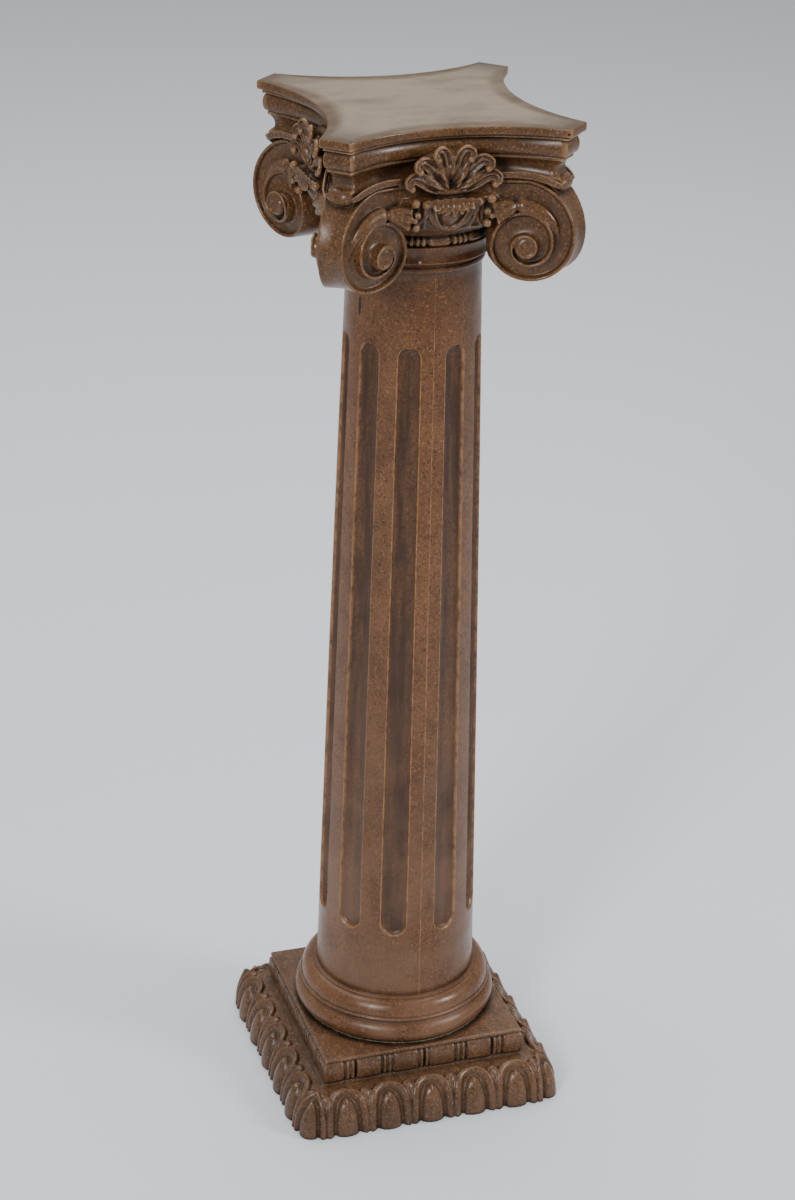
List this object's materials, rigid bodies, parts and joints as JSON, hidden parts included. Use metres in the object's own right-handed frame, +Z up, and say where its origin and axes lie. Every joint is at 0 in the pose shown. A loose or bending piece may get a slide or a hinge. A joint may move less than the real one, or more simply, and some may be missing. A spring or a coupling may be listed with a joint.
{
  "type": "pedestal column",
  "caption": "Cast resin pedestal column: square plinth with egg moulding, tapered fluted shaft and angular Ionic capital with a flat top.",
  "frame": {"origin": "centre of the plinth's underside", "axes": "+Z up along the shaft's axis, -Y towards the front face, +X to the right of it"},
  "size_m": [0.2776, 0.2776, 1],
  "materials": {
    "plinth_resin": "brown cast resin with a satin lacquer, speckled, with a greyish patina in the carving",
    "shaft_resin": "brown cast resin with a satin lacquer and fine light and dark specks",
    "capital_resin": "brown cast resin, lighter on worn edges, with dark patina in the hollows"
  },
  "bodies": {
    "root": {"plinth": "plinth_resin", "shaft": "shaft_resin", "capital": "capital_resin"}
  },
  "joints": []
}
